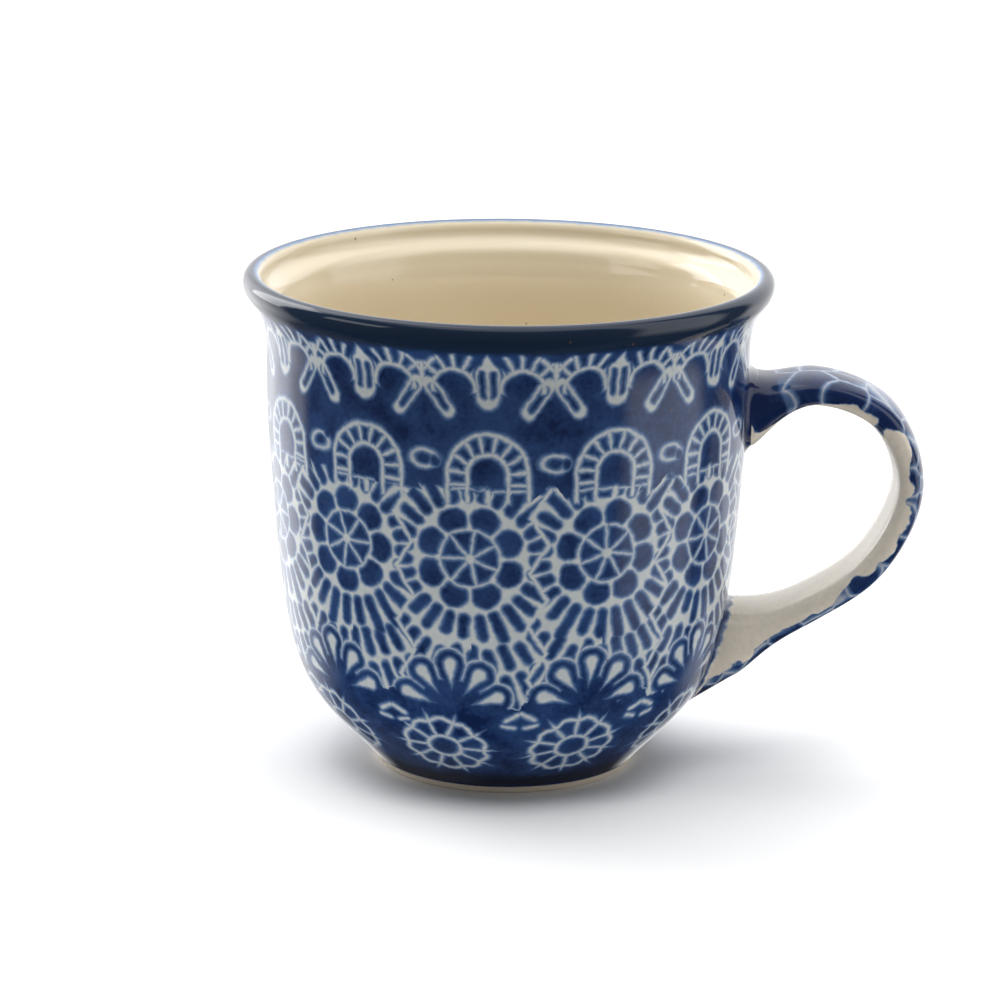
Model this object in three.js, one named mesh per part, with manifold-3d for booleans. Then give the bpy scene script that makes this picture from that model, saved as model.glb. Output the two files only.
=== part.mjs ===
// A stoneware mug with a stuck-on strap handle. Millimetres, +Z up, standing on its foot ring at z = 0.
// The handle points along +X, and the origin is the middle of the mug's box at table height.
//
// The clay pieces are the cup, turned in one with its foot ring, and the handle. Each end of the handle
// is stuck to the wall with a pad of luting slip, which squeezes out a little around it.

import * as THREE from 'three';
import { mergeVertices } from 'three/addons/utils/BufferGeometryUtils.js';
import Module from 'manifold-3d';

const wasm = await Module();
wasm.setup();

// ---- driving dimensions -------------------------------------------------------------------------

// cup, outside
const CUP_HEIGHT = 81.2;
const RIM_RADIUS = 42.5;          // widest point of the flared lip
const LIP_ROUNDING = 1.6;         // the lip is a half round of this radius
const NECK_RADIUS = 38.8;         // where the wall stands upright below the flare
const FLARE_HEIGHT = 11.5;        // from the neck up to the widest point of the lip
const BELLY_RADIUS = 37.6;
const BELLY_HEIGHT = 42.5;
const BELLY_LEAN = 0.074;         // the wall still opens this much outwards for each unit up
const FOOT_RADIUS = 21.1;         // outer edge of the foot ring, where the wall starts
const FOOT_HEIGHT = 1.2;          // the short upright side of the foot ring
const FOOT_ROUNDING = 0.5;        // softened edge between that side and the face it stands on
const FOOT_FLARE = 43;            // degrees from upright at which the wall leaves the foot

// the outer wall is drawn in three smooth stretches: the share of each that keeps to its end directions
const BOWL_KEEPS_BELLY = 0.73;    // foot to belly, arriving at the belly
const SIDE_KEEPS_BELLY = 0.54;    // belly to neck, leaving the belly
const SIDE_KEEPS_NECK = 0.49;     // belly to neck, arriving at the neck
const FLARE_KEEPS_NECK = 0.78;    // neck to lip, leaving the neck
const FLARE_KEEPS_LIP = 0.28;     // neck to lip, arriving at the lip

// cup, inside and underneath
const WALL = 3.6;
const FLOOR = 4.8;                // clay between the recess and the inside floor
const FOOT_RING_WIDTH = 4.2;      // from the outer edge of the foot ring to the recess
const RECESS_DEPTH = 2.4;
const RECESS_LEAN = 1.4;          // how far the side of the recess leans inwards
const LEVEL_WALL_SHARE = 0.75;    // the inside follows the outside above this share of the belly's height
const FLOOR_EDGE_SHARE = 0.42;    // where the flat floor turns up, as a share of the radius above
const FLOOR_EDGE_RISE = 0.6;      // how much higher that edge is than the middle of the floor
const BOWL_UPRIGHT_LEAN = 0.02;   // inward lean of the inside wall where its bowl starts
const BOWL_UPRIGHT_SHARE = 0.45;  // how far down the bowl starts to turn
const BOWL_FULLNESS = 0.86;       // how far out the bowl keeps to the floor
const BOWL_RISE = 1.2;            // height above the floor at that place

// handle: middle line of the strap, each point measured outwards from the belly and up from the table
const STRAP_TOP = { out: 12.2, up: 62.6 };
const STRAP_SHOULDER = { out: 23.0, up: 58.0 };
const STRAP_BACK = { out: 27.2, up: 46.6 };
const STRAP_HEEL = { out: 21.8, up: 34.0 };
const STRAP_TAIL = { out: 11.6, up: 26.5 };
const STRAP_THICKNESS = 5.0;
const STRAP_WIDTH = 14.5;
const STRAP_SQUARENESS = 2.5;     // 2 gives an oval section, more gives a squarer one

// handle ends: height of the middle of the joint, and the strap's extra size there, which fades along it
const UPPER_END = { up: 59.9, taller: 8.6, wider: 1.8, fade: 3.4, ease: 1.1 };
const LOWER_END = { up: 20.2, taller: 7.6, wider: 1.8, fade: 7.4, ease: 1.8 };
const END_FANNING = 0.3;          // how fast an end goes on growing once it is inside the wall
const END_DEPTH = 8;              // how far the untrimmed strap runs on into the wall

// luting slip
const SLIP_THICKNESS = 1.0;
const SLIP_SQUEEZE = 0.4;         // how far the slip stands out around the end of the handle
const CLEARANCE = 0.3;            // gap between neighbouring pieces

// fineness of the faceted surfaces
const TURNS = 60;                 // steps around the cup
const STRAP_STEPS = 38;           // steps along the handle
const STRAP_SIDES = 20;           // steps around the strap's section
const WALL_STEPS = [10, 5, 6];    // steps up each stretch of the outer wall
const BOWL_STEPS = 9;             // steps down the inside of the bowl
const FOOT_CORNER_STEPS = 3;
const LIP_STEPS = 6;

const CLAY = { color: 0xe4d9c1, roughness: 0.25, metalness: 0 };
const BLUE_GLAZE = { color: 0x3a5082, roughness: 0.15, metalness: 0 };
const SLIP = { color: 0x8d93a0, roughness: 0.35, metalness: 0 };

// ---- outlines of the cup ------------------------------------------------------------------------

// A point of a turned outline: distance from the axis, and height.
const at = (radius, height) => new THREE.Vector2(radius, height);

// One smooth stretch of wall, leaving `from` along `leaving` and reaching `to` along `arriving`.
function stretch(from, leaving, arriving, to) {
  return new THREE.CubicBezierCurve(from, from.clone().add(leaving), to.clone().sub(arriving), to);
}

// The cup's outer wall, from the top of the foot ring to the widest point of the lip.
function outerWall() {
  const foot = at(FOOT_RADIUS, FOOT_HEIGHT);
  const belly = at(BELLY_RADIUS, BELLY_HEIGHT);
  const rim = at(RIM_RADIUS, CUP_HEIGHT - LIP_ROUNDING);
  const neck = at(NECK_RADIUS, rim.y - FLARE_HEIGHT);
  const flare = THREE.MathUtils.degToRad(FOOT_FLARE);
  const leavingFoot = at(Math.sin(flare), Math.cos(flare)).multiplyScalar(BELLY_RADIUS - FOOT_RADIUS);
  const lean = at(BELLY_LEAN, 1);
  const lower = belly.y - foot.y;
  const upper = neck.y - belly.y;
  const wall = new THREE.CurvePath();
  const arrivingBelly = lean.clone().multiplyScalar(lower * BOWL_KEEPS_BELLY);
  const leavingBelly = lean.clone().multiplyScalar(upper * SIDE_KEEPS_BELLY);
  const arrivingNeck = at(0, upper * SIDE_KEEPS_NECK);
  const leavingNeck = at(0, FLARE_HEIGHT * FLARE_KEEPS_NECK);
  const arrivingRim = at(0, FLARE_HEIGHT * FLARE_KEEPS_LIP);
  wall.add(stretch(foot, leavingFoot, arrivingBelly, belly));
  wall.add(stretch(belly, leavingBelly, arrivingNeck, neck));
  wall.add(stretch(neck, leavingNeck, arrivingRim, rim));
  return wall;
}

const WALL_LINE = outerWall().curves.flatMap((curve, index) => {
  const points = curve.getPoints(WALL_STEPS[index]);
  return index ? points.slice(1) : points;
});

// The same line moved sideways, at right angles to itself: outwards for a positive distance.
function besideWall(distance) {
  return WALL_LINE.map((point, index) => {
    const before = WALL_LINE[Math.max(index - 1, 0)];
    const after = WALL_LINE[Math.min(index + 1, WALL_LINE.length - 1)];
    const along = after.clone().sub(before).normalize();
    return at(point.x + along.y * distance, point.y - along.x * distance);
  });
}

// Points of a round corner about `centre`, without its two end points.
function corner(centre, radius, startDegrees, endDegrees, steps) {
  const points = [];
  for (let step = 1; step < steps; step += 1) {
    const angle = THREE.MathUtils.degToRad(startDegrees + (endDegrees - startDegrees) * step / steps);
    points.push(at(centre.x + radius * Math.cos(angle), centre.y + radius * Math.sin(angle)));
  }
  return points;
}

// The inside of the cup, from the lip down to the middle of the floor.
function innerWall() {
  const floorHeight = RECESS_DEPTH + FLOOR;
  const upright = besideWall(-WALL).filter((point) => point.y > BELLY_HEIGHT * LEVEL_WALL_SHARE);
  const start = upright[0];
  const mouth = at(RIM_RADIUS - 2 * LIP_ROUNDING, CUP_HEIGHT - LIP_ROUNDING);
  const side = upright.filter((point) => point.y < mouth.y - LIP_ROUNDING / 2).reverse();
  const floorEdge = at(start.x * FLOOR_EDGE_SHARE, floorHeight + FLOOR_EDGE_RISE);
  const bowl = new THREE.CubicBezierCurve(
    start,
    at(start.x - start.y * BOWL_UPRIGHT_LEAN, start.y * BOWL_UPRIGHT_SHARE),
    at(start.x * BOWL_FULLNESS, floorHeight + BOWL_RISE),
    floorEdge);
  return [mouth, ...side, ...bowl.getPoints(BOWL_STEPS).slice(1), at(0, floorHeight)];
}

// The whole closed outline of the cup, from the middle of the underside to the middle of the floor.
function cupOutline() {
  const recessEdge = FOOT_RADIUS - FOOT_RING_WIDTH;
  const footCorner = at(FOOT_RADIUS - FOOT_ROUNDING, FOOT_ROUNDING);
  const lipCentre = at(RIM_RADIUS - LIP_ROUNDING, CUP_HEIGHT - LIP_ROUNDING);
  return [
    at(0, RECESS_DEPTH),
    at(recessEdge - RECESS_LEAN, RECESS_DEPTH),
    at(recessEdge, 0),
    at(footCorner.x, 0),
    ...corner(footCorner, FOOT_ROUNDING, -90, 0, FOOT_CORNER_STEPS),
    at(FOOT_RADIUS, FOOT_ROUNDING),
    ...WALL_LINE,
    ...corner(lipCentre, LIP_ROUNDING, 0, 180, LIP_STEPS),
    ...innerWall(),
  ];
}

// Turns an outline about the cup's axis.
function turned(outline) {
  return new THREE.LatheGeometry(outline, TURNS).rotateX(Math.PI / 2);
}

// ---- solids -------------------------------------------------------------------------------------

function toSolid(geometry) {
  geometry.deleteAttribute('normal');
  geometry.deleteAttribute('uv');
  const merged = mergeVertices(geometry);
  const vertProperties = merged.attributes.position.array;
  return new wasm.Manifold(new wasm.Mesh({ numProp: 3, vertProperties, triVerts: merged.index.array }));
}

function toGeometry(solid) {
  const mesh = solid.getMesh();
  const geometry = new THREE.BufferGeometry();
  geometry.setAttribute('position', new THREE.BufferAttribute(mesh.vertProperties, 3));
  geometry.setIndex(new THREE.BufferAttribute(mesh.triVerts, 1));
  geometry.computeVertexNormals();
  return geometry;
}

// Everything inside a surface that stands `distance` outside the cup's outer wall.
function insideWall(distance) {
  const line = besideWall(distance);
  const bottom = line[0];
  const top = line[line.length - 1];
  return toSolid(turned([at(0, bottom.y), ...line, at(0, top.y)]));
}

// ---- handle -------------------------------------------------------------------------------------

// Distance from the axis to the outer wall at a height.
function wallRadius(height) {
  const upper = WALL_LINE.findIndex((point) => point.y >= height);
  const above = WALL_LINE[Math.max(upper, 1)];
  const below = WALL_LINE[Math.max(upper, 1) - 1];
  return THREE.MathUtils.lerp(below.x, above.x, (height - below.y) / (above.y - below.y));
}

const strapPoint = ({ out, up }) => new THREE.Vector3(BELLY_RADIUS + out, 0, up);

// The middle line of the strap. Both ends run on into the clay of the wall, to be trimmed by it.
function strapLine() {
  const upper = new THREE.Vector3(wallRadius(UPPER_END.up), 0, UPPER_END.up);
  const lower = new THREE.Vector3(wallRadius(LOWER_END.up), 0, LOWER_END.up);
  const tail = strapPoint(STRAP_TAIL);
  const intoUpper = upper.clone().add(new THREE.Vector3(-END_DEPTH, 0, 0));
  const intoLower = lower.clone().add(lower.clone().sub(tail).setLength(END_DEPTH));
  return new THREE.CatmullRomCurve3([
    intoUpper, upper, strapPoint(STRAP_TOP), strapPoint(STRAP_SHOULDER), strapPoint(STRAP_BACK),
    strapPoint(STRAP_HEEL), tail, lower, intoLower,
  ], false, 'centripetal');
}

// How much of an end's spread the strap has at a distance from the wall, counted along the strap.
function spreadAt(reach, end) {
  return reach > 0 ? Math.exp(-((reach / end.fade) ** end.ease)) : 1 - END_FANNING * reach / end.fade;
}

// The strap as one closed solid, with `extra` added all round its section.
function strap(extra) {
  const line = strapLine();
  const sections = line.getSpacedPoints(STRAP_STEPS);
  const length = line.getLength();
  const positions = [];
  sections.forEach((centre, index) => {
    const along = line.getTangentAt(index / STRAP_STEPS);
    const across = new THREE.Vector3(-along.z, 0, along.x);
    const travelled = length * index / STRAP_STEPS;
    const upperSpread = spreadAt(travelled - END_DEPTH, UPPER_END);
    const lowerSpread = spreadAt(length - travelled - END_DEPTH, LOWER_END);
    const taller = UPPER_END.taller * upperSpread + LOWER_END.taller * lowerSpread;
    const wider = UPPER_END.wider * upperSpread + LOWER_END.wider * lowerSpread;
    const halfThickness = (STRAP_THICKNESS + taller) / 2 + extra;
    const halfWidth = (STRAP_WIDTH + wider) / 2 + extra;
    for (let side = 0; side < STRAP_SIDES; side += 1) {
      const angle = side / STRAP_SIDES * Math.PI * 2;
      const bend = (value) => Math.sign(value) * Math.abs(value) ** (2 / STRAP_SQUARENESS);
      const point = centre.clone().addScaledVector(across, bend(Math.cos(angle)) * halfThickness);
      positions.push(point.x, bend(Math.sin(angle)) * halfWidth, point.z);
    }
  });
  return toSolid(loft(positions, sections.length, STRAP_SIDES));
}

// Skins rings of points, one ring after another, and closes both ends.
function loft(positions, rings, sides) {
  const faces = [];
  for (let ring = 0; ring < rings - 1; ring += 1) {
    for (let side = 0; side < sides; side += 1) {
      const next = (side + 1) % sides;
      const a = ring * sides + side;
      const b = ring * sides + next;
      faces.push(a, b + sides, b, a, a + sides, b + sides);
    }
  }
  const last = (rings - 1) * sides;
  for (let side = 1; side < sides - 1; side += 1) {
    faces.push(0, side, side + 1);
    faces.push(last, last + side + 1, last + side);
  }
  const geometry = new THREE.BufferGeometry();
  geometry.setAttribute('position', new THREE.Float32BufferAttribute(positions, 3));
  geometry.setIndex(faces);
  return geometry;
}

// ---- the mug ------------------------------------------------------------------------------------

function mesh(name, geometry, finish) {
  const part = new THREE.Mesh(geometry, new THREE.MeshStandardMaterial(finish));
  part.name = name;
  return part;
}

const slipInside = CLEARANCE;
const slipOutside = slipInside + SLIP_THICKNESS;
const handleStart = slipOutside + CLEARANCE;

const handleSolid = strap(0).subtract(insideWall(handleStart));
const slipSolid = strap(SLIP_SQUEEZE).subtract(insideWall(slipInside)).intersect(insideWall(slipOutside));
const slips = slipSolid.decompose();
const middleHeight = (solid) => (solid.boundingBox().min[2] + solid.boundingBox().max[2]) / 2;
slips.sort((first, second) => middleHeight(second) - middleHeight(first));

const cup = new THREE.Group();
cup.add(mesh('cup_body', turned(cupOutline()), BLUE_GLAZE));
cup.add(mesh('handle', toGeometry(handleSolid), CLAY));
cup.add(mesh('upper_slip_joint', toGeometry(slips[0]), SLIP));
cup.add(mesh('lower_slip_joint', toGeometry(slips[1]), SLIP));

const box = new THREE.Box3().setFromObject(cup);
cup.position.x = -(box.min.x + box.max.x) / 2;

const mug = new THREE.Group();
mug.name = 'mug';
mug.add(cup);
export default mug;
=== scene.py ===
"""A stoneware mug with a flared lip and a strap handle, decorated in cobalt under clear glaze."""
import math

import bpy
from mathutils import Matrix, Vector


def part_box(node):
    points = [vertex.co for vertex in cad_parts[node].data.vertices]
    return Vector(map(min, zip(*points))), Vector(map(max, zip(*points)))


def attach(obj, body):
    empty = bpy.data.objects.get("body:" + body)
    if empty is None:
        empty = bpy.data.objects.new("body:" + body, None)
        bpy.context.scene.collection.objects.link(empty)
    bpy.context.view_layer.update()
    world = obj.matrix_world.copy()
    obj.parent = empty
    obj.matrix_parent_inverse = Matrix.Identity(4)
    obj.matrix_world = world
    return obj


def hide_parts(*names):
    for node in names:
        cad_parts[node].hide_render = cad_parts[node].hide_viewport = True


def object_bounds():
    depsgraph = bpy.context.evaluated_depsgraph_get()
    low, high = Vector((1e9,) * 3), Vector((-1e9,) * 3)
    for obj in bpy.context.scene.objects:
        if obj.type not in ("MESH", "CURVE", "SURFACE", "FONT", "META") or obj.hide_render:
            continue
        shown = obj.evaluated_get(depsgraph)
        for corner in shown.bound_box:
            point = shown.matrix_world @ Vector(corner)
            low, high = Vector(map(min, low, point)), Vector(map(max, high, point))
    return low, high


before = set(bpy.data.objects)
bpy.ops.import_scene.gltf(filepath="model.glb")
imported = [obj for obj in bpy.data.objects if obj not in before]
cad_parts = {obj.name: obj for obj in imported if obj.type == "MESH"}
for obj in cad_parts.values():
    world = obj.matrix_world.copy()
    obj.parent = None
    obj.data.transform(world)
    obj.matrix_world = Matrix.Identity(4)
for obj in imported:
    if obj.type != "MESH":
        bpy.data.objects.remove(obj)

MM = 0.001
cad_low, cad_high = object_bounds()

# ---- sizes in millimetres, as the solid model has them ---------------------------------------------

cup_low, cup_high = (Vector(corner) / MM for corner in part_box("cup_body"))
AXIS_X = (cup_low.x + cup_high.x) / 2
RIM_RADIUS = (cup_high.y - cup_low.y) / 2
CUP_HEIGHT = cup_high.z

LIP_ROUNDING = 1.6
NECK_RADIUS = 38.8
FLARE_HEIGHT = 11.5
BELLY_RADIUS = 37.6
BELLY_HEIGHT = 42.5
BELLY_LEAN = 0.074
FOOT_RADIUS = 21.1
FOOT_HEIGHT = 1.2
FOOT_ROUNDING = 0.5
FOOT_FLARE = math.radians(43)
GLAZE = 0.16                      # thickness of the glaze, seen where it stops above the bare foot
WALL = 3.6
FLOOR = 4.8
FOOT_RING_WIDTH = 4.2
RECESS_DEPTH = 2.4
RECESS_LEAN = 1.4

# how fully each bend of the outside keeps to its neighbours, as shares of the stretch
BOWL_KEEPS_BELLY = 0.73
SIDE_KEEPS_BELLY = 0.54
SIDE_KEEPS_NECK = 0.49
FLARE_KEEPS_NECK = 0.78
FLARE_KEEPS_LIP = 0.28

# the inside: where it follows the outside, and the shape of the bowl below
LEVEL_WALL_SHARE = 0.75
LIP_KEPT_CLEAR = 2.4              # in lip roundings
FLOOR_EDGE_SHARE = 0.42
FLOOR_EDGE_RISE = 0.6
BOWL_UPRIGHT_LEAN = 0.02
BOWL_UPRIGHT_SHARE = 0.45
BOWL_FULLNESS = 0.86
BOWL_RISE = 1.2

# handle: middle line of the strap as (out from the belly, up from the table)
STRAP_TOP = (12.2, 62.6)
STRAP_SHOULDER = (23.0, 58.0)
STRAP_BACK = (27.2, 46.6)
STRAP_HEEL = (21.8, 34.0)
STRAP_TAIL = (11.6, 26.5)
STRAP_THICKNESS = 5.0
STRAP_WIDTH = 14.5
STRAP_SQUARENESS = 2.5
UPPER_END = dict(up=59.9, taller=8.6, wider=1.8, fade=3.4, ease=1.1)
LOWER_END = dict(up=20.2, taller=7.6, wider=1.8, fade=7.4, ease=1.8)
END_FANNING = 0.3
END_DEPTH = 8
SLIP_REACH = 1.3                  # how far the smoothed slip reaches onto the wall and onto the strap
SLIP_ON_STRAP = 1.25              # its reach along the strap, as a share of its reach on the wall
SLIP_SUNK = 0.02                  # how far its edges sink into the wall and the strap
SLIP_STEPS = 10
ENDS_SUNK = 0.4                   # how far the strap runs into the wall
UPPER_SHARE = 0.2                 # share of the middle line in which the upper end meets the wall
LOWER_SHARE = 0.7                 # share of the middle line beyond which the lower end meets the wall

CUP_TURNS = 288
STRAP_SIDES = 96
STRAP_ROWS = 170
MIDDLE_STEPS = 900


# ---- lines ------------------------------------------------------------------------------------------

def bezier(start, leaving, arriving, end, steps):
    """Points of a smooth stretch from one vector into another, without its start."""
    second, third = start + leaving, end - arriving
    points = []
    for step in range(1, steps + 1):
        t = step / steps
        u = 1 - t
        points.append(u ** 3 * start + 3 * u * u * t * second + 3 * u * t * t * third + t ** 3 * end)
    return points


def arc(centre, radius, start, end, steps):
    """Points of a round corner from one angle to another, in degrees, without its start."""
    angles = [math.radians(start + (end - start) * step / steps) for step in range(1, steps + 1)]
    return [centre + radius * Vector((math.cos(a), math.sin(a))) for a in angles]


def straight(start, end, steps):
    """Points of a straight stretch, without its start."""
    return [start.lerp(end, step / steps) for step in range(1, steps + 1)]


def at(radius, height):
    """A point or a vector in the plane through the axis."""
    return Vector((radius, height))


RIM = at(RIM_RADIUS, CUP_HEIGHT - LIP_ROUNDING)
NECK = at(NECK_RADIUS, RIM.y - FLARE_HEIGHT)
BELLY = at(BELLY_RADIUS, BELLY_HEIGHT)
FOOT = at(FOOT_RADIUS, FOOT_HEIGHT)


def outer_wall():
    """The outside of the cup from the glaze line to the widest point of the lip."""
    leaving_foot = at(math.sin(FOOT_FLARE), math.cos(FOOT_FLARE)) * (BELLY_RADIUS - FOOT_RADIUS)
    lean = at(BELLY_LEAN, 1)
    lower = BELLY.y - FOOT.y
    upper = NECK.y - BELLY.y
    flare_from, flare_to = at(0, FLARE_HEIGHT * FLARE_KEEPS_NECK), at(0, FLARE_HEIGHT * FLARE_KEEPS_LIP)
    return ([FOOT]
            + bezier(FOOT, leaving_foot, lean * lower * BOWL_KEEPS_BELLY, BELLY, 60)
            + bezier(BELLY, lean * upper * SIDE_KEEPS_BELLY, at(0, upper * SIDE_KEEPS_NECK), NECK, 26)
            + bezier(NECK, flare_from, flare_to, RIM, 22))


WALL_LINE = outer_wall()


def beside(line, distance):
    """The line moved sideways at right angles to itself."""
    moved = []
    for index, point in enumerate(line):
        along = (line[min(index + 1, len(line) - 1)] - line[max(index - 1, 0)]).normalized()
        moved.append(point + distance * at(along.y, -along.x))
    return moved


def wall_radius(height):
    """Distance from the axis to the outside of the wall at a height."""
    for below, above in zip(WALL_LINE, WALL_LINE[1:]):
        if above.y >= height:
            return below.x + (above.x - below.x) * (height - below.y) / (above.y - below.y)
    return RIM_RADIUS


def inside_line():
    """The inside of the cup, from the inner edge of the lip to the middle of the floor."""
    floor = RECESS_DEPTH + FLOOR
    mouth = at(RIM_RADIUS - 2 * LIP_ROUNDING, RIM.y)
    low, high = BELLY_HEIGHT * LEVEL_WALL_SHARE, mouth.y - LIP_ROUNDING * LIP_KEPT_CLEAR
    side = [point for point in beside(WALL_LINE, -WALL) if low < point.y < high]
    side.reverse()
    start = side[-1]
    into_flare = bezier(mouth, at(0, -1.9), at(-0.12, -2.4), side[0], 9)
    second = at(start.x - start.y * BOWL_UPRIGHT_LEAN, start.y * BOWL_UPRIGHT_SHARE)
    third = at(start.x * BOWL_FULLNESS, floor + BOWL_RISE)
    floor_edge = at(start.x * FLOOR_EDGE_SHARE, floor + FLOOR_EDGE_RISE)
    bowl = bezier(start, second - start, floor_edge - third, floor_edge, 34)
    return into_flare + side[1:] + bowl + straight(floor_edge, at(0, floor), 9)


def underneath():
    """The bare foot ring and the glazed recess, from the middle of the underside to the glaze line."""
    bare = FOOT_RADIUS - GLAZE
    recess_edge = FOOT_RADIUS - FOOT_RING_WIDTH
    top = at(recess_edge - RECESS_LEAN, RECESS_DEPTH)
    standing = at(recess_edge, 0)
    line = [at(0, RECESS_DEPTH)]
    line += straight(line[-1], top + at(-1.2, 0), 10)
    line += bezier(line[-1], at(0.9, 0), at(0.25, -0.5), top.lerp(standing, 0.35), 6)
    line += bezier(line[-1], at(0.4, -0.8), at(0.35, -0.1), standing + at(0.5, 0), 6)
    line += straight(line[-1], at(bare - FOOT_ROUNDING, 0), 6)
    line += arc(at(bare - FOOT_ROUNDING, FOOT_ROUNDING), FOOT_ROUNDING, -90, 0, 6)
    line += straight(line[-1], at(bare, FOOT_HEIGHT - GLAZE * 1.6), 3)
    line += bezier(line[-1], at(0, 0.06), at(0, 0.12), FOOT, 4)
    return line


# ---- the cup ----------------------------------------------------------------------------------------

def new_piece(name, places, faces):
    """A mesh piece from points in millimetres, kept inside the solid model's box."""
    inside = [[min(max(p[i] * MM, cad_low[i]), cad_high[i]) for i in range(3)] for p in places]
    mesh = bpy.data.meshes.new(name)
    mesh.from_pydata(inside, [], faces)
    mesh.validate()
    for polygon in mesh.polygons:
        polygon.use_smooth = True
    piece = bpy.data.objects.new(name, mesh)
    bpy.context.scene.collection.objects.link(piece)
    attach(piece, "root")
    return piece


def keep_number(piece, name, values):
    """Stores one number for each point of a piece, for its glaze to read."""
    layer = piece.data.attributes.new(name, "FLOAT", "POINT")
    layer.data.foreach_set("value", values)


def flat_place(turned, value, region, first_half, spans):
    """Where a corner lies in the flat layout: underside, inside with lip, and the outside in two rows."""
    deepest, lip_start, end = spans
    across = turned / CUP_TURNS
    if region == "underside":
        return across, 0.99 - 0.05 * value / deepest
    if region == "inside":
        return across, 0.73 + 0.20 * (value - lip_start) / (end - lip_start)
    if first_half:
        return across * 2, 0.01 + 0.35 * value / lip_start
    return across * 2 - 1, 0.37 + 0.35 * value / lip_start


def make_cup():
    """The cup as one turned shell, from the middle of the underside to the middle of the floor."""
    below = underneath()
    lip = arc(at(RIM_RADIUS - LIP_ROUNDING, RIM.y), LIP_ROUNDING, 0, 180, 18)
    outline = below[:-1] + WALL_LINE + lip + inside_line()
    glaze_line = len(below) - 1
    rise = [0.0]
    for before, after in zip(outline, outline[1:]):
        rise.append(rise[-1] + (after - before).length)
    rise = [value - rise[glaze_line] for value in rise]

    lip_start = rise[len(below) + len(WALL_LINE) - 2]
    spans = (rise[0], lip_start, rise[-1])
    places, rises, rings = [], [], []
    for point, value in zip(outline, rise):
        if point.x < 1e-6:
            rings.append([len(places)] * CUP_TURNS)
            places.append((AXIS_X, 0, point.y))
            rises.append(value)
            continue
        rings.append(list(range(len(places), len(places) + CUP_TURNS)))
        for turn in range(CUP_TURNS):
            angle = 2 * math.pi * turn / CUP_TURNS
            places.append((AXIS_X + point.x * math.cos(angle), point.x * math.sin(angle), point.y))
            rises.append(value)

    faces, flat = [], []
    for lower, upper, start, stop in zip(rings, rings[1:], rise, rise[1:]):
        region = "outside"
        if stop <= 0:
            region = "underside"
        elif start >= lip_start:
            region = "inside"
        for turn in range(CUP_TURNS):
            after = (turn + 1) % CUP_TURNS
            corners = {lower[turn]: (turn, start), lower[after]: (turn + 1, start),
                       upper[after]: (turn + 1, stop), upper[turn]: (turn, stop)}
            faces.append(list(corners))
            for turned, value in corners.values():
                flat += flat_place(turned, value, region, turn < CUP_TURNS / 2, spans)
    cup = new_piece("cup", places, faces)
    keep_number(cup, "rise", rises)
    layout = cup.data.uv_layers.new(name="OFBake")
    layout.uv.foreach_set("vector", [0.002 + 0.996 * value for value in flat])
    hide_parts("cup_body")
    return cup


# ---- the handle -------------------------------------------------------------------------------------

def smooth_line(points, steps):
    """A centripetal Catmull-Rom line through the points, as evenly spaced points, and its length."""
    ends = [points[0] * 2 - points[1]] + points + [points[-1] * 2 - points[-2]]
    fine = [points[0]]
    for p0, p1, p2, p3 in zip(ends, ends[1:], ends[2:], ends[3:]):
        k0, k1, k2 = ((b - a).length ** 0.5 for a, b in ((p0, p1), (p1, p2), (p2, p3)))
        leaving = ((p1 - p0) / k0 - (p2 - p0) / (k0 + k1) + (p2 - p1) / k1) * k1 / 3
        arriving = ((p2 - p1) / k1 - (p3 - p1) / (k1 + k2) + (p3 - p2) / k2) * k1 / 3
        fine += bezier(p1, leaving, arriving, p2, 60)
    run = [0.0]
    for before, after in zip(fine, fine[1:]):
        run.append(run[-1] + (after - before).length)
    even, index = [], 0
    for step in range(steps + 1):
        wanted = run[-1] * step / steps
        while index < len(run) - 2 and run[index + 1] < wanted:
            index += 1
        share = (wanted - run[index]) / (run[index + 1] - run[index])
        even.append(fine[index].lerp(fine[index + 1], share))
    return even, run[-1]


def strap_middle():
    """The middle line of the strap, running on into the wall at both ends."""
    upper = at(wall_radius(UPPER_END["up"]), UPPER_END["up"])
    lower = at(wall_radius(LOWER_END["up"]), LOWER_END["up"])
    bends = [at(BELLY_RADIUS + out, up)
             for out, up in (STRAP_TOP, STRAP_SHOULDER, STRAP_BACK, STRAP_HEEL, STRAP_TAIL)]
    into_upper = upper - at(END_DEPTH, 0)
    into_lower = lower + (lower - bends[-1]).normalized() * END_DEPTH
    return smooth_line([into_upper, upper, *bends, lower, into_lower], MIDDLE_STEPS)


MIDDLE, MIDDLE_LENGTH = strap_middle()


def spread_at(reach, end):
    """How much of an end's spread the strap has at a distance from the wall."""
    if reach < 0:
        return 1 - END_FANNING * reach / end["fade"]
    return math.exp(-(reach / end["fade"]) ** end["ease"])


def bend(value):
    """A cosine or sine drawn out towards a rounded square."""
    return math.copysign(abs(value) ** (2 / STRAP_SQUARENESS), value)


def strap_point(travelled, angle):
    """A point of the strap's surface: how far along the middle line, and the angle from the outer face."""
    place = min(max(travelled / MIDDLE_LENGTH, 0), 1) * (len(MIDDLE) - 1)
    index = min(int(place), len(MIDDLE) - 2)
    centre = MIDDLE[index].lerp(MIDDLE[index + 1], place - index)
    along = (MIDDLE[min(index + 4, len(MIDDLE) - 1)] - MIDDLE[max(index - 3, 0)]).normalized()
    outwards = at(-along.y, along.x)
    upper = spread_at(travelled - END_DEPTH, UPPER_END)
    lower = spread_at(MIDDLE_LENGTH - travelled - END_DEPTH, LOWER_END)
    thickness = STRAP_THICKNESS + UPPER_END["taller"] * upper + LOWER_END["taller"] * lower
    width = STRAP_WIDTH + UPPER_END["wider"] * upper + LOWER_END["wider"] * lower
    flat = centre + outwards * bend(math.cos(angle)) * thickness / 2
    return Vector((flat.x, bend(math.sin(angle)) * width / 2, flat.y))


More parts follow.
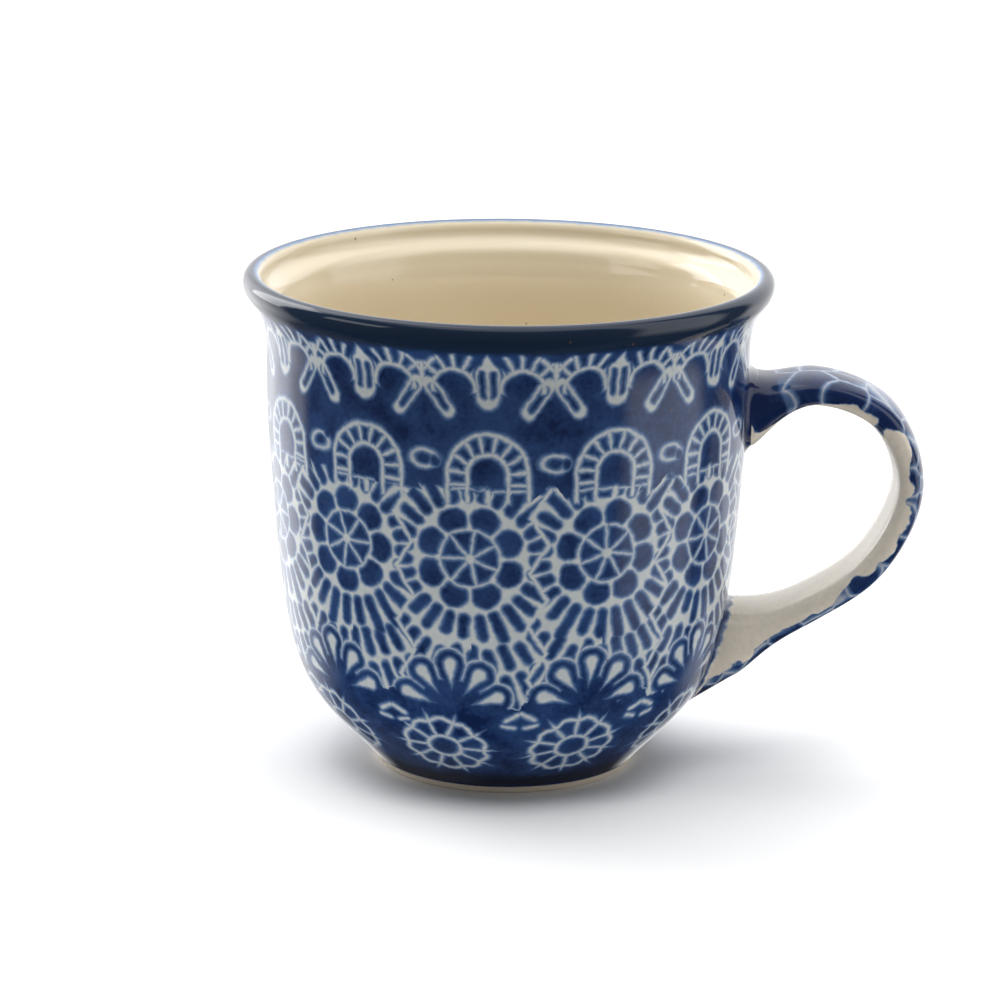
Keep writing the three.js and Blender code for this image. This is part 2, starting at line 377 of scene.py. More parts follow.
def outside_wall(point):
    """How far a point stands outside the cup's wall, level with it."""
    return math.hypot(point.x, point.y) - wall_radius(point.z)


def meets_wall(angle, inner, outer, gap):
    """How far along the strap one of its lines stands `gap` outside the wall."""
    for _ in range(40):
        middle = (inner + outer) / 2
        if outside_wall(strap_point(middle, angle)) < gap:
            inner = middle
        else:
            outer = middle
    return (inner + outer) / 2


ANGLES = [2 * math.pi * side / STRAP_SIDES for side in range(STRAP_SIDES)]
UPPER_RUN = (0.0, MIDDLE_LENGTH * UPPER_SHARE)
LOWER_RUN = (MIDDLE_LENGTH, MIDDLE_LENGTH * LOWER_SHARE)


def placed(point):
    """From the cup's own axis to the mug's frame."""
    return (point.x + AXIS_X, point.y, point.z)


def make_handle():
    """The strap, from just inside the wall at its upper end to just inside it at its lower end."""
    starts = [meets_wall(angle, *UPPER_RUN, -ENDS_SUNK) for angle in ANGLES]
    stops = [meets_wall(angle, *LOWER_RUN, -ENDS_SUNK) for angle in ANGLES]
    places, along, around = [], [], []
    for row in range(STRAP_ROWS + 1):
        ring = []
        for angle, start, stop in zip(ANGLES, starts, stops):
            travelled = start + (stop - start) * row / STRAP_ROWS
            ring.append(strap_point(travelled, angle))
            along.append(travelled)
        places += [placed(point) for point in ring]
        run = [0.0]
        for before, after in zip(ring, ring[1:]):
            run.append(run[-1] + (after - before).length)
        whole = run[-1] + (ring[0] - ring[-1]).length
        around += [min(value, whole - value) for value in run]
    faces = []
    for row in range(STRAP_ROWS):
        for side in range(STRAP_SIDES):
            after = (side + 1) % STRAP_SIDES
            first, second = row * STRAP_SIDES, (row + 1) * STRAP_SIDES
            faces.append([first + side, second + side, second + after, first + after])
    for row, order in ((0, 1), (STRAP_ROWS, -1)):
        ring = [row * STRAP_SIDES + side for side in range(STRAP_SIDES)][::order]
        middle = len(places)
        places.append(tuple(sum(places[i][k] for i in ring) / STRAP_SIDES for k in range(3)))
        along.append(along[ring[0]])
        around.append(0.0)
        faces += [[middle, ring[side], ring[(side + 1) % STRAP_SIDES]] for side in range(STRAP_SIDES)]
    handle = new_piece("handle_strap", places, faces)
    keep_number(handle, "along", along)
    keep_number(handle, "around", around)
    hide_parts("handle")
    return handle


def make_joint(name, node, run):
    """The smoothed slip around one end of the handle: a hollow fillet between the strap and the wall."""
    direction = 1 if run[1] > run[0] else -1
    crease = [meets_wall(angle, *run, 0) for angle in ANGLES]
    corners = [strap_point(travelled, angle) for travelled, angle in zip(crease, ANGLES)]
    middle = sum(corners, Vector()) / len(corners)
    places, blend = [], []
    for index, (travelled, angle) in enumerate(zip(crease, ANGLES)):
        corner = corners[index]
        along_crease = (corners[(index + 1) % STRAP_SIDES] - corners[index - 1]).normalized()
        slope = wall_radius(corner.z + 0.5) - wall_radius(corner.z - 0.5)
        normal = Vector((corner.x, corner.y, -slope * math.hypot(corner.x, corner.y))).normalized()
        away = along_crease.cross(normal).normalized()
        if away.dot(corner - middle) < 0:
            away.negate()
        on_wall = corner + away * SLIP_REACH
        flat = Vector((on_wall.x, on_wall.y, 0)).normalized() * (wall_radius(on_wall.z) - SLIP_SUNK)
        on_wall = Vector((flat.x, flat.y, on_wall.z))
        on_strap = strap_point(travelled + direction * SLIP_REACH * SLIP_ON_STRAP, angle)
        on_strap -= (on_strap - middle).normalized() * SLIP_SUNK
        for step in range(SLIP_STEPS + 1):
            t = step / SLIP_STEPS
            places.append(placed(on_wall * (1 - t) ** 2 + corner * 2 * t * (1 - t) + on_strap * t * t))
            blend.append(t)
        places.append(placed(corner - normal * 0.5 - away * 0.5))
        blend.append(0.5)
    wide = SLIP_STEPS + 2
    faces = []
    for side in range(STRAP_SIDES):
        after = (side + 1) % STRAP_SIDES
        for step in range(wide):
            beyond = (step + 1) % wide
            face = [side * wide + step, side * wide + beyond, after * wide + beyond, after * wide + step]
            faces.append(face if direction > 0 else face[::-1])
    joint = new_piece(name, places, faces)
    keep_number(joint, "blend", blend)
    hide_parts(node)
    return joint


# ---- arithmetic on the surface, written as nodes -----------------------------------------------------

class Reading:
    """A number or colour that changes over a surface. Arithmetic on it adds Math nodes to its tree."""

    def __init__(self, tree, socket):
        self.tree = tree
        self.socket = socket

    def __add__(self, other):
        return work("ADD", self, other)

    def __radd__(self, other):
        return work("ADD", self, other)

    def __sub__(self, other):
        return work("SUBTRACT", self, other)

    def __rsub__(self, other):
        return work("SUBTRACT", other, self)

    def __mul__(self, other):
        return work("MULTIPLY", self, other)

    def __rmul__(self, other):
        return work("MULTIPLY", self, other)

    def __truediv__(self, other):
        return work("DIVIDE", self, other)

    def __neg__(self):
        return work("MULTIPLY", self, -1)

    def __abs__(self):
        return work("ABSOLUTE", self)


def put(node, place, value):
    """Gives one input of a node its value: a reading or a plain number or colour."""
    if isinstance(value, Reading):
        value.tree.links.new(value.socket, node.inputs[place])
    else:
        node.inputs[place].default_value = value


def work(operation, *values):
    """One Math node."""
    tree = next(value.tree for value in values if isinstance(value, Reading))
    node = tree.nodes.new("ShaderNodeMath")
    node.operation = operation
    for place, value in enumerate(values):
        put(node, place, value)
    return Reading(tree, node.outputs[0])


def smaller(first, *others):
    """The smallest of some values."""
    for other in others:
        first = work("MINIMUM", first, other)
    return first


def larger(first, *others):
    """The largest of some values."""
    for other in others:
        first = work("MAXIMUM", first, other)
    return first


def held(value, low, high):
    """The value, kept between two others."""
    return work("MINIMUM", work("MAXIMUM", value, low), high)


def mapped(value, start, end, to_start, to_end, kind="LINEAR"):
    """The value carried from one span to another, and held at its ends."""
    node = value.tree.nodes.new("ShaderNodeMapRange")
    node.interpolation_type = kind
    for place, number in enumerate((value, start, end, to_start, to_end)):
        put(node, place, number)
    return Reading(value.tree, node.outputs[0])


def fades(value, start, end):
    """1 at the start of a span and 0 at its end, smoothly."""
    return mapped(value, start, end, 1, 0, "SMOOTHSTEP")


def far(x, y):
    """Length of (x, y)."""
    pair = x.tree.nodes.new("ShaderNodeCombineXYZ")
    put(pair, 0, x)
    put(pair, 1, y)
    node = x.tree.nodes.new("ShaderNodeVectorMath")
    node.operation = "LENGTH"
    x.tree.links.new(pair.outputs[0], node.inputs[0])
    return Reading(x.tree, node.outputs["Value"])


def chance(index, seed):
    """A random number from 0 to 1 for each whole number."""
    node = index.tree.nodes.new("ShaderNodeTexWhiteNoise")
    node.noise_dimensions = "1D"
    put(node, "W", index + seed)
    return Reading(index.tree, node.outputs["Value"])


def apart(vector):
    """The three numbers of a vector."""
    node = vector.tree.nodes.new("ShaderNodeSeparateXYZ")
    put(node, 0, vector)
    return [Reading(vector.tree, output) for output in node.outputs]


def noise(place, size, detail=2.0, output="Fac"):
    """Smooth noise with features of a size in millimetres."""
    node = place.tree.nodes.new("ShaderNodeTexNoise")
    put(node, "Vector", place)
    put(node, "Scale", 1 / (size * MM))
    put(node, "Detail", detail)
    return Reading(place.tree, node.outputs[output])


def between(amount, low, high):
    """A colour between two colours."""
    node = amount.tree.nodes.new("ShaderNodeMix")
    node.data_type = "RGBA"
    put(node, 0, amount)
    put(node, 6, low)
    put(node, 7, high)
    return Reading(amount.tree, node.outputs[2])


def own_place(tree):
    """The place on the piece, in metres."""
    return Reading(tree, tree.nodes.new("ShaderNodeTexCoord").outputs["Object"])


def kept_number(tree, name):
    """The number stored on the piece's points under a name."""
    node = tree.nodes.new("ShaderNodeAttribute")
    node.attribute_name = name
    return Reading(tree, node.outputs["Fac"])


KINDS = {"number": "NodeSocketFloat", "colour": "NodeSocketColor"}


def new_group(name, inputs, outputs, draw):
    """A shader node group with named inputs and outputs, filled by a function from inputs to outputs."""
    tree = bpy.data.node_groups.new(name, "ShaderNodeTree")
    for label, kind in inputs.items():
        tree.interface.new_socket(name=label, in_out="INPUT", socket_type=KINDS[kind])
    for label, kind in outputs.items():
        tree.interface.new_socket(name=label, in_out="OUTPUT", socket_type=KINDS[kind])
    source = tree.nodes.new("NodeGroupInput")
    found = draw(*[Reading(tree, source.outputs[label]) for label in inputs])
    result = tree.nodes.new("NodeGroupOutput")
    for label, value in zip(outputs, found):
        put(result, label, value)
    return tree


def from_group(tree, group, **values):
    """Places a group in a tree and gives its outputs."""
    node = tree.nodes.new("ShaderNodeGroup")
    node.node_tree = group
    for label, value in values.items():
        put(node, label.capitalize(), value)
    return [Reading(tree, output) for output in node.outputs]


# ---- brush and stamp shapes: signed distances in millimetres, negative inside -------------------------

def dab(x, y, start, end, half):
    """A round-ended upright bar."""
    return far(x, y - held(y, start, end)) - half


def stroke(x, y, start, end, half):
    """A round-ended bar between two points."""
    (ax, ay), (bx, by) = start, end
    long = math.hypot(bx - ax, by - ay)
    ux = (bx - ax) / long
    uy = (by - ay) / long
    run = work("MULTIPLY_ADD", x, ux, work("MULTIPLY_ADD", y, uy, -(ax * ux + ay * uy)))
    side = work("MULTIPLY_ADD", x, uy, work("MULTIPLY_ADD", y, -ux, ay * ux - ax * uy))
    return far(side, run - held(run, 0, long)) - half


def line_at(value, place, half):
    """A line of some half width where the value passes a place."""
    return abs(value - place) - half


def repeat(turn, count, phase, sway=0):
    """Equal shares of the way round: a share's number, and the turns from its middle and to its edge."""
    share = 2 * math.pi / count
    shares = turn / share - phase
    whole = work("ROUND", shares + sway)
    edge = (0.5 - abs(shares + sway - whole)) * share
    return work("WRAP", whole, count, 0), (shares - whole) * share, edge


def blade(spin, count):
    """Equal blades of a fan: the blade's number, and the angle from its middle."""
    share = 2 * math.pi / count
    whole = work("ROUND", spin / share)
    return whole, spin - whole * share


def to_blade_edge(out, local, count):
    """Distance to the line between two blades."""
    return out * work("SINE", math.pi / count - abs(local))


# ---- the bands of decoration ---------------------------------------------------------------------------

MEDALLIONS = 9
LOTUSES = 10
ROSETTES = 11
ARCHES = 12
FOOT_BAND = 4.6                   # the bands' heights are measured along the wall from the glaze line
MEDALLION_UP = 12.6
LOTUS_UP = 21.4
ROSETTE_UP = 47.6
ARCH_UP = 61.0
FIELD_TOP = 58.6
RIM_BAND = 80.9


def medallions(turn, radius, rise):
    """Stamped wheels low on the cup, with a spike on every spoke."""
    cell, angle, _ = repeat(turn, MEDALLIONS, 0.53)
    x = angle * radius + (chance(cell, 3) - 0.5) * 0.8
    y = rise - MEDALLION_UP + (chance(cell, 5) - 0.5) * 0.7
    out = far(x, y)
    spokes, hub, tyre, tip = 10, 2.65, 6.1, 7.7
    _, local = blade(work("ARCTAN2", x, y) + chance(cell, 7) * 0.6, spokes)
    edge = to_blade_edge(out, local, spokes)
    scallops = line_at(out - smaller(edge, 1.6) * 0.4, tyre, 0.38)
    wheel = smaller(larger(edge - 0.3, 2.6 - out, out - 6.3), line_at(out, hub, 0.36))
    spikes = larger(edge + (out - tip) * 0.3, 6.2 - out)
    return [smaller(scallops, wheel, spikes)]


def lotuses(turn, radius, rise):
    """Half daisies with leaves between them: the distances to what is bare and to the whole flower."""
    cell, angle, _ = repeat(turn, LOTUSES, 0.61)
    x = angle * radius
    y = rise - LOTUS_UP + (chance(cell, 21) - 0.5) * 0.5
    out = far(x, y)
    petal, local = blade(work("ARCTAN2", x, y), 10)
    across = out * work("SINE", local)
    along = out * work("COSINE", local) + abs(petal) * 0.25
    width = mapped(along, 3.0, 8.2, -0.5, 1.05)
    tongue = larger(far(across, larger(along - 8.2, 0)) - width, 0.4 - y)
    share = radius * (math.pi / LOTUSES) - abs(x)
    leaf = stroke(share, y, (0.3, -0.9), (2.1, -1.9), 0.42)
    stem = stroke(share, y, (0.9, -3.6), (2.5, -3.1), 0.36)
    return [smaller(tongue, leaf, stem), smaller(tongue - 1.4, out - 5.8)]


def rosettes(turn, radius, rise):
    """Flowers ringed by brush strokes on a bare ground: the distance to their cobalt."""
    zigzag = abs(work("WRAP", rise, 9.0, 0) - 4.5) * 0.03 - 0.07
    cell, angle, edge = repeat(turn, ROSETTES, -0.27, zigzag)
    x = angle * radius + (chance(cell, 11) - 0.5) * 0.8
    y = rise - ROSETTE_UP + (chance(cell, 13) - 0.5) * 1.0
    out = far(x, y)
    spin = work("ARCTAN2", x, y) + (chance(cell, 17) - 0.5) * 0.8
    _, local = blade(spin, 7)
    wedges = larger(0.24 - to_blade_edge(out, local, 7), 0.9 - out, out - 4.5)
    _, local = blade(spin + 0.15, 8)
    bulge = far(out * work("SINE", local), (out * work("COSINE", local) - 6.6) * 1.12) - 2.4
    petals = larger(bulge, 0.24 - to_blade_edge(out, local, 8), 5.0 - out)
    which, local = blade(spin, 27)
    luck = chance(which * 13 + cell * 71, 19)
    inner = dab(out * work("SINE", local), out * work("COSINE", local), 10.1, 12.2 + luck * 3.0, 0.98)
    ceiling = 9.0 + luck * 2.8 - y
    which, local = blade(spin + 0.07, 40)
    luck = chance(which * 17 + cell * 53, 37)
    start, end = 15.0 + luck * 1.6, 18.2 + luck
    middle = dab(out * work("SINE", local), out * work("COSINE", local), start, end, 0.95)
    _, local = blade(spin, 52)
    outer = dab(out * work("SINE", local), out * work("COSINE", local), 21.0, 26.0, 0.96)
    marks = smaller(wedges, petals, inner, middle, outer)
    return [smaller(larger(marks, 0.42 - edge * radius), ceiling)]


def arches(turn, radius, rise):
    """Round-headed arches of blocks, with a small ring between each two."""
    _, angle, _ = repeat(turn, ARCHES, -0.15)
    x = angle * radius
    y = rise - ARCH_UP
    head = larger(y, 0)
    out = far(x, head)
    block = 2.05
    run = work("ARCTAN2", abs(x), head) * 4.8 + larger(-y, 0)
    joint = abs(work("WRAP", run, block, 0) - block / 2)
    joints = larger(joint - 0.32, 3.2 - out, out - 6.35, -2.6 - y)
    outlines = smaller(line_at(out, 6.35, 0.38), line_at(out, 3.2, 0.38))
    notch = dab(x, y, -6.0, -2.9, 0.5)
    white = larger(smaller(outlines, joints, notch), -4.7 - y)
    cell, angle, _ = repeat(turn, ARCHES, 0.35)
    x = angle * radius + (chance(cell, 23) - 0.5) * 1.4
    y = y - 1.7 + (chance(cell, 29) - 0.5) * 1.2
    ring = line_at(far(x * 0.62, y), 1.25, 0.28)
    bite = 1.0 - far(x - 1.8, y + (chance(cell, 31) - 0.5) * 5.0)
    return [smaller(white, larger(ring, bite)), larger(out - 6.4, -4.3 - y)]


def fringe(turn, radius, rise):
    """Drooping tongues between rayed lobes, with a forked twig between each two, under the dark rim."""
    _, angle, _ = repeat(turn, ARCHES, -0.15)
    x = angle * radius
    side = abs(x)
    lobe_x = side - 5.3
    lobe = far(lobe_x, rise - 74.4)
    _, local = blade(work("ARCTAN2", lobe_x, rise - 74.4), 15)
    rays = dab(lobe * work("SINE", local), lobe * work("COSINE", local), 3.4, 6.2, 0.34)
    rays = larger(rays, 75.4 - rise, 2.3 - side)
    outline = larger(line_at(lobe, 3.35, 0.4), 73.8 - rise, 1.6 - side)
    bars = dab(side - 0.84, rise - side * 0.3, 73.2, 76.8, 0.55)
    tongue = larger(dab(x, rise, 73.2, 77.0, 1.9), -bars)
    tip = larger(side + (rise - 80.6) * 0.5, 77.6 - rise)
    share = radius * (math.pi / ARCHES) - side
    arm = stroke(share, rise, (0.9, 75.2), (3.9, 70.9), 1.2)
    arm = larger(arm, -stroke(share, rise, (1.4, 74.4), (3.5, 71.4), 0.62))
    twig = smaller(dab(share, rise, 76.0, 78.4, 0.5), stroke(share, rise, (0.3, 77.4), (2.2, 79.6), 0.36))
    return [smaller(rays, outline, tongue, tip, arm, twig)]


PLACE = {"Turn": "number", "Radius": "number", "Rise": "number"}
BARE = {"Bare": "number"}
BANDS = (
    ("medallion band", BARE, medallions),
    ("lotus band", {"Bare": "number", "Flower": "number"}, lotuses),
    ("rosette band", {"Cobalt": "number"}, rosettes),
    ("arch band", {"Bare": "number", "Legs": "number"}, arches),
    ("fringe band", BARE, fringe),
)


def decoration(turn, radius, rise, ragged):
    """All the bands together: the distance to the nearest place with no cobalt."""
    found = []
    for name, outputs, draw in BANDS:
        band = new_group(name, PLACE, outputs, draw)
        found += from_group(turn.tree, band, turn=turn, radius=radius, rise=rise)
    wheels, tongues, flower, cobalt, windows, legs, drops = found
    flower = smaller(flower, rise - 23.2 + (ragged - 0.5) * 11.0)
    top = FIELD_TOP + (ragged - 0.5) * 3.0
    field = larger(-larger(cobalt, 0.38 - flower, 0.4 - legs), -flower, rise - top, -legs)
    white = smaller(field, tongues, wheels, windows, drops)
    return [larger(white, FOOT_BAND - rise, rise - RIM_BAND - ragged)]


# ---- glazes --------------------------------------------------------------------------------------------

COBALT = (0.023, 0.058, 0.170, 1)
DEEP_COBALT = (0.006, 0.018, 0.075, 1)
THIN_COBALT = (0.14, 0.25, 0.45, 1)
MILK = (0.61, 0.635, 0.61, 1)
CREAM = (0.76, 0.665, 0.49, 1)
SLATE = (0.010, 0.022, 0.048, 1)
# painted shade: near-black navy laid over the cobalt foot band where the body tucks under
PAINTED_FOOT_SHADE = (0.004, 0.010, 0.032, 1)
IRON = (0.13, 0.075, 0.035, 1)
CLAY = (0.70, 0.62, 0.50, 1)
THIN_MILK = (0.55, 0.585, 0.58, 1)
WARM_CREAM = (0.79, 0.71, 0.55, 1)
STRAP_CREAM = (0.80, 0.72, 0.59, 1)
STRAP_SHADE = (0.69, 0.61, 0.49, 1)
SLIP_CREAM = (0.82, 0.74, 0.61, 1)
SLIP_SHADE = (0.70, 0.62, 0.49, 1)

GLAZE_IOR = 1.52
RIPPLE_STRENGTH = 0.35
RIPPLE_HEIGHT = 0.12
CELL = 5.6                        # width of one cell of the handle's pattern
LIP_BLUE = (86.7, 87.3)           # where the dark lip turns pale blue, along the wall
LIP_CREAM = (87.5, 88.2)          # and where the cream of the inside begins
RING_EDGE = (-5.9, -5.6)          # the inner edge of the bare foot ring
GLAZE_LINE = (-0.15, 0.05)        # its outer edge, where the glaze stops


def cobalt_wash(bare, thick, ground):
    """Cobalt under clear glaze: its colour where it was sponged thick or thin, and fading at its edges."""
    place = own_place(bare.tree)
    cloud = noise(place, 6.0, 3)
    speck = noise(place, 0.8, 2)
    depth = mapped(bare, 0.2, 3.2, 0, 0.6) + (cloud - 0.42) * 2.6 + (speck - 0.5) * 1.1 + thick
    solid = between(held(depth, 0, 1), COBALT, DEEP_COBALT)
    soft = bare + (speck - 0.5) * 0.25
    halo = between(fades(soft, -0.15, 0.6) * 0.8, solid, THIN_COBALT)
    stained = between((speck - 0.3) * 0.35, ground, THIN_COBALT)
    return [between(fades(soft, -0.42, 0.18), halo, stained)]


def glaze_skin(specks):
    """A glossy glaze: its roughness, the height of its ripples, and the iron specks in it."""
    place = own_place(specks.tree)
    ripple = noise(place, 9.0, 2)
    mottle = noise(place, 1.6, 3)
    cells = specks.tree.nodes.new("ShaderNodeTexVoronoi")
    put(cells, "Vector", place)
    put(cells, "Scale", 1 / (3.2 * MM))
    tone = apart(Reading(specks.tree, cells.outputs["Color"]))[0]
    away = Reading(specks.tree, cells.outputs["Distance"])
    spot = fades(away, 0.03, 0.10) * fades(tone, 0.14, 0.22) * specks
    rough = 0.055 + mottle * 0.05
    return [rough, ripple + mottle * 0.06, spot]


COBALT_WASH = new_group("cobalt under glaze", {"Bare": "number", "Thick": "number", "Ground": "colour"},
                        {"Colour": "colour"}, cobalt_wash)
GLAZE_SKIN = new_group("glaze skin", {"Specks": "number"},
                       {"Roughness": "number", "Height": "number", "Spots": "number"}, glaze_skin)


def new_glaze(name):
    """A material with a Principled shader, its tree and its bump."""
    material = bpy.data.materials.new(name)
    material.use_nodes = True
    tree = material.node_tree
    shader = tree.nodes["Principled BSDF"]
    shader.inputs["IOR"].default_value = GLAZE_IOR
    bump = tree.nodes.new("ShaderNodeBump")
    bump.inputs["Strength"].default_value = RIPPLE_STRENGTH
    bump.inputs["Distance"].default_value = RIPPLE_HEIGHT * MM
    tree.links.new(bump.outputs[0], shader.inputs["Normal"])
    return material, tree, shader, bump


def decorated_glaze():
    """The cup: banded decoration outside, painted shade darkening the foot band, a dark rim, cream inside,
    bare clay under the foot.
    """
    material, tree, shader, bump = new_glaze("decorated_glaze")
    place = own_place(tree)
    x, y, z = apart(place)
    x = x * (1 / MM) - AXIS_X
    y = y * (1 / MM)
    radius = far(x, y)
    rise = kept_number(tree, "rise")
    wobble_x, wobble_y, ragged = apart(noise(place, 3.0, 2, "Color"))
    turn = work("ARCTAN2", x, -y) + (wobble_x - 0.5) * 0.9 / radius
    up = rise + (wobble_y - 0.5) * 0.9
    everywhere = new_group("decoration", {**PLACE, "Ragged": "number"}, BARE, decoration)
    (bare,) = from_group(tree, everywhere, turn=turn, radius=radius, rise=up, ragged=ragged)
    rough, height, spots = from_group(tree, GLAZE_SKIN, specks=1.0)
    cream = between(noise(place, 14.0, 3), CREAM, WARM_CREAM)
    milk = between(noise(place, 9.0, 2), MILK, THIN_MILK)
    (outside,) = from_group(tree, COBALT_WASH, bare=bare, thick=0.0, ground=milk)
    # the foot band darkened with painted shade, darkest from 0.9 to 2.2 mm up, fading out by 5.2 mm and
    # lighter again at the glaze line
    foot = between(fades(up, 2.2, 5.2) * mapped(up, 0.2, 0.9, 0.2, 1), outside, PAINTED_FOOT_SHADE)
    rim = between(mapped(up, RIM_BAND - 0.5, RIM_BAND + 0.7, 0, 1), foot, SLATE)
    blue_edge = between(mapped(rise, *LIP_BLUE, 0, 1), rim, THIN_COBALT)
    inside = between(mapped(rise + wobble_x * 0.5, *LIP_CREAM, 0, 1), blue_edge, cream)
    underside = between(mapped(rise, *RING_EDGE, 0, 1), cream, CLAY)
    bare_foot = mapped(rise, *RING_EDGE, 0, 1) * mapped(rise, *GLAZE_LINE, 1, 0)
    glazed = between(mapped(rise, *GLAZE_LINE, 0, 1), underside, inside)
    put(shader, "Base Color", between(spots * 0.8, glazed, IRON))
    put(shader, "Roughness", rough + bare_foot * 0.6)
    put(bump, "Height", height + bare_foot * noise(place, 0.35, 3) * 1.5)
    return material


def handle_glaze():
    """The strap: stamped cobalt cells on its outer face, spilling over the edges, and cream elsewhere."""
    material, tree, shader, bump = new_glaze("handle_glaze")
    place = own_place(tree)
    across = apart(place)[1] * (1 / MM)
    along = kept_number(tree, "along")
    around = kept_number(tree, "around")
    wobble, ragged, patch = apart(noise(place, 7.0, 1.2, "Color"))
    flat = tree.nodes.new("ShaderNodeCombineXYZ")
    put(flat, 0, along + (wobble - 0.5) * 2)
    put(flat, 1, across + (ragged - 0.5) * 2)
    cells = tree.nodes.new("ShaderNodeTexVoronoi")
    cells.feature = "DISTANCE_TO_EDGE"
    tree.links.new(flat.outputs[0], cells.inputs["Vector"])
    put(cells, "Scale", 1 / CELL)
    put(cells, "Randomness", 0.8)
    lines = Reading(tree, cells.outputs["Distance"]) * CELL - 0.12 + fades(along, 11, 14) * 3
    frayed = (noise(place, 1.8, 2) - 0.5) * 2.6
    spill = (ragged - 0.5) * 12 + (patch - 0.5) * 10 + fades(along, 9, 24) * 2.6
    bare = smaller(lines, (10.3 + spill + frayed - around) * 1.3)
    rough, height, spots = from_group(tree, GLAZE_SKIN, specks=1.0)
    cream = between(noise(place, 12.0, 3), STRAP_CREAM, STRAP_SHADE)
    (outside,) = from_group(tree, COBALT_WASH, bare=bare, thick=0.55, ground=cream)
    put(shader, "Base Color", between(spots * 0.8, outside, IRON))
    put(shader, "Roughness", rough)
    put(bump, "Height", height)
    return material


def joint_glaze():
    """The smoothed slip in the crease of a handle joint: deep cobalt along its wall side, cream towards
    the strap.
    """
    material, tree, shader, bump = new_glaze("joint_glaze")
    place = own_place(tree)
    blend = kept_number(tree, "blend")
    ragged = noise(place, 2.5, 3)
    upper = mapped(apart(place)[2] * (1 / MM), 52, 56, 0, 2.2)
    # deep cobalt on the wall side of the crease, turning to cream towards the strap, with more of it on
    # the upper joint
    bare = (0.62 - blend) * 2.2 + (ragged - 0.5) * 2.4 + upper
    rough, height, spots = from_group(tree, GLAZE_SKIN, specks=0.5)
    cream = between(noise(place, 6.0, 2), SLIP_CREAM, SLIP_SHADE)
    (outside,) = from_group(tree, COBALT_WASH, bare=bare, thick=0.9, ground=cream)
    put(shader, "Base Color", between(spots * 0.8, outside, IRON))
    put(shader, "Roughness", rough)
    put(bump, "Height", height)
    return material


# ---- the pieces ----------------------------------------------------------------------------------------

cup = make_cup()
cup.data.materials.append(decorated_glaze())
handle = make_handle()
handle.data.materials.append(handle_glaze())
slip = joint_glaze()
upper_slip = make_joint("upper_slip", "upper_slip_joint", UPPER_RUN)
upper_slip.data.materials.append(slip)
lower_slip = make_joint("lower_slip", "lower_slip_joint", LOWER_RUN)
lower_slip.data.materials.append(slip)

# ---- the studio, in metres -----------------------------------------------------------------------------

WALLS = 1.15                      # brightness of the room's lit walls
DIM_FRONT = 0.08                  # and of its unlit front
LEFT_GLOW = 1.0                   # more light on the wall behind the mug to its left
BELOW_TABLE = 0.04                # share of the light left well below the table
BACKDROP = 1.1                    # brightness of the white background
FLOOR_WHITE = (0.95, 0.95, 0.95, 1)
FLOOR_PALE = (0.97, 0.97, 0.97, 1)


def make_floor():
    """A matt white sheet under and behind the mug, left out of the glaze's reflections."""
    side, front, back = 0.8, -0.16, 0.9
    corners = [(-side, front, 0), (side, front, 0), (side, back, 0), (-side, back, 0)]
    mesh = bpy.data.meshes.new("studio_floor")
    mesh.from_pydata(corners, [], [[0, 1, 2, 3]])
    floor = bpy.data.objects.new("studio_floor", mesh)
    bpy.context.scene.collection.objects.link(floor)
    floor.visible_glossy = False
    material = bpy.data.materials.new("white_sweep")
    material.use_nodes = True
    tree = material.node_tree
    shader = tree.nodes["Principled BSDF"]
    put(shader, "Base Color", between(noise(own_place(tree), 120.0, 2), FLOOR_WHITE, FLOOR_PALE))
    put(shader, "Roughness", 0.9)
    put(shader, "Specular IOR Level", 0.0)
    floor.data.materials.append(material)


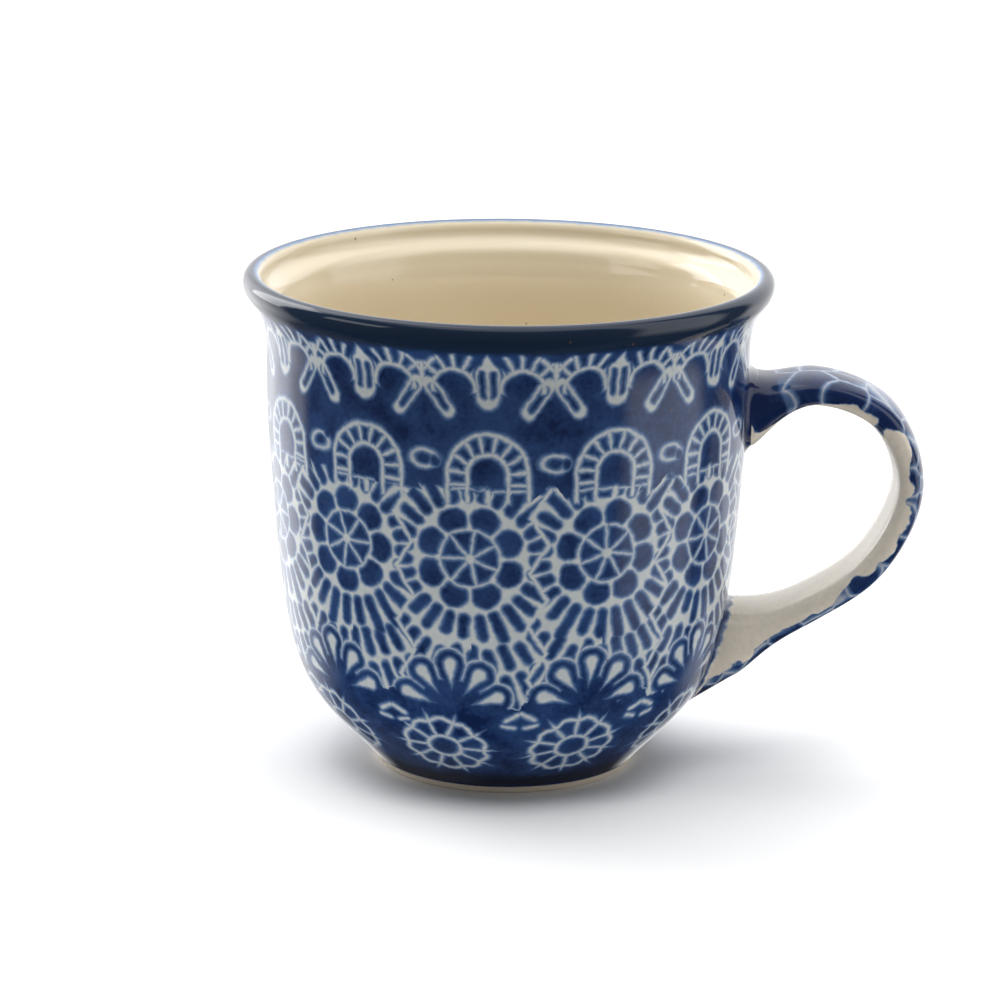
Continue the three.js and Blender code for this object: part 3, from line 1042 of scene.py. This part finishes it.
def make_world():
    """White to the camera; to the mug, a room with a bright back and a bright side, dim in front."""
    world = bpy.data.worlds.new("studio")
    bpy.context.scene.world = world
    world.use_nodes = True
    tree = world.node_tree
    shader = tree.nodes["Background"]
    x, y, z = apart(Reading(tree, tree.nodes.new("ShaderNodeTexCoord").outputs["Generated"]))
    seen = Reading(tree, tree.nodes.new("ShaderNodeLightPath").outputs["Is Camera Ray"])
    facing = work("ARCTAN2", x, -y) * math.degrees(1)
    panel = smaller(mapped(facing, 54, 62, 0, 1), mapped(facing, 100, 108, 1, 0))
    back = larger(mapped(facing, 121, 129, 0, 1), mapped(facing, -116, -108, 1, 0))
    bright = larger(panel, back, mapped(z, 0.82, 0.95, 0, 1)) * WALLS + DIM_FRONT
    glow = smaller(mapped(facing, -165, -150, 0, 1), mapped(facing, -130, -118, 1, 0)) * LEFT_GLOW
    light = (bright + glow) * mapped(z, -0.6, -0.32, BELOW_TABLE, 1)
    put(shader, "Color", (1, 1, 1, 1))
    put(shader, "Strength", light + seen * (BACKDROP - light))


def softbox(name, place, target, width, height, power, mirrored=True):
    """An area lamp turned to a target; one that isn't mirrored stays out of the glaze's reflections."""
    light = bpy.data.lights.new(name, "AREA")
    light.shape = "RECTANGLE"
    light.size = width
    light.size_y = height
    light.energy = power
    lamp = bpy.data.objects.new(name, light)
    lamp.location = place
    lamp.visible_glossy = mirrored
    lamp.rotation_euler = (Vector(target) - Vector(place)).to_track_quat("-Z", "Y").to_euler()
    bpy.context.scene.collection.objects.link(lamp)


def make_camera():
    """Level with the top of the mug's body, looking down a little."""
    elevation = math.radians(15.0)
    distance = 721 * MM
    height = 43.02 * MM
    roll = math.radians(0.51)
    lens = bpy.data.cameras.new("camera")
    lens.lens = 160.2
    lens.sensor_width = 36
    lens.clip_start = 0.01
    camera = bpy.data.objects.new("camera", lens)
    looking = Vector((0, math.cos(elevation), -math.sin(elevation)))
    focus = Vector(((AXIS_X - 1.11) * MM, 0, height))
    turned = looking.to_track_quat("-Z", "Y").to_matrix().to_4x4() @ Matrix.Rotation(roll, 4, "Z")
    camera.matrix_world = Matrix.Translation(focus - looking * distance) @ turned
    bpy.context.scene.collection.objects.link(camera)
    bpy.context.scene.camera = camera


make_floor()
make_world()
softbox("top_softbox", (0.0, 0.25, 0.85), (-0.01, 0, 0.04), 0.9, 0.7, 2.5, mirrored=False)
softbox("left_softbox", (-0.72, 0.52, 0.42), (-0.01, 0, 0.05), 0.5, 0.75, 3.2)
softbox("left_strip", (-0.86, -0.30, 0.46), (-0.01, 0, 0.06), 0.5, 0.3, 0.8)
softbox("overhead_fill", (0.0, -0.25, 0.9), (-0.01, -0.08, 0.0), 0.7, 0.5, 3.0, mirrored=False)
make_camera()
bpy.context.scene.view_settings.view_transform = "Standard"
